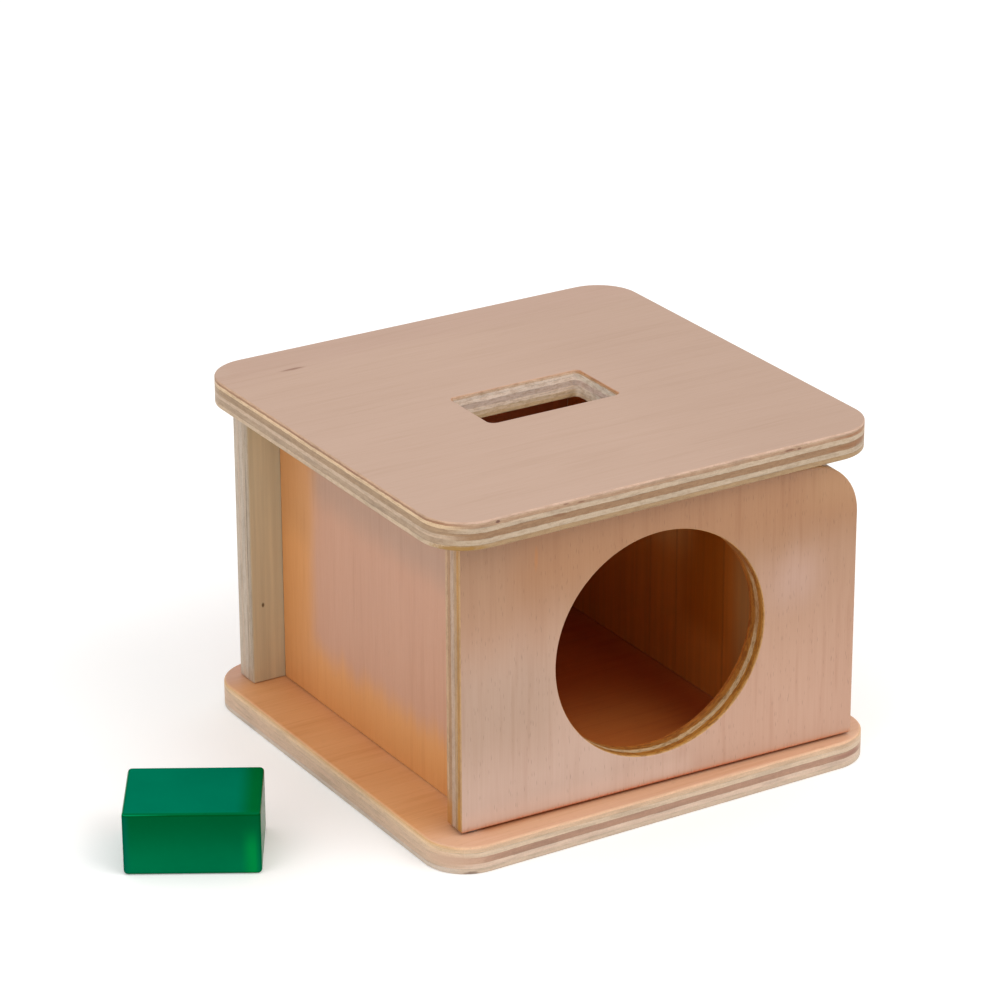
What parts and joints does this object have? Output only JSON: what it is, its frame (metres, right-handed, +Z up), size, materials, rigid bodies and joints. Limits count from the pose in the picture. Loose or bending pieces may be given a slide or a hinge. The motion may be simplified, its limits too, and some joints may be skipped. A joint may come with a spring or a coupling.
{
  "type": "object permanence box",
  "caption": "Plywood box with a rectangular posting slot in its lid, a pivoting front door with a round hand hole, and a loose rectangular block to post.",
  "frame": {"origin": "on the base board's underside, where the box stands on the table, plumb below the lid's centre", "axes": "+Z up, -Y out of the front towards the door's side, +X along the front from the hinge end to the door's free end"},
  "size_m": [0.2294, 0.147, 0.1104],
  "materials": {
    "board_plywood": "satin clear lacquer on beech-faced plywood",
    "wall_plywood": "satin clear lacquer on beech-faced plywood",
    "door_plywood": "satin clear lacquer on beech-faced plywood",
    "dowel_wood": "bare birch",
    "pivot_steel": "plain drawn steel",
    "green_lacquer": "satin gloss green lacquer on solid wood"
  },
  "bodies": {
    "box": {"base_board": "board_plywood", "top_board": "board_plywood", "left_wall": "wall_plywood", "right_wall": "wall_plywood", "back_panel": "wall_plywood", "lower_pivot_pin": "pivot_steel", "upper_pivot_pin": "pivot_steel", "thrust_washer": "pivot_steel", "dowel_left_front_lower": "dowel_wood", "dowel_left_front_upper": "dowel_wood", "dowel_left_back_lower": "dowel_wood", "dowel_left_back_upper": "dowel_wood", "dowel_right_front_lower": "dowel_wood", "dowel_right_front_upper": "dowel_wood", "dowel_right_back_lower": "dowel_wood", "dowel_right_back_upper": "dowel_wood", "dowel_back_left_lower": "dowel_wood", "dowel_back_left_upper": "dowel_wood", "dowel_back_right_lower": "dowel_wood", "dowel_back_right_upper": "dowel_wood"},
    "door": {"front_door": "door_plywood"},
    "block": {"green_block": "green_lacquer"}
  },
  "joints": [
    {"name": "door_swing", "type": "hinge", "parent": "box", "child": "door", "pos_m": [-0.0612, -0.0609, 0], "axis": [0, 0, -1], "range_deg": [-2.1, 177.9]},
    {"name": "block_lift", "type": "slide", "parent": "box", "child": "block", "axis": [0, 0, 1], "range_m": [0, 0.125]}
  ]
}
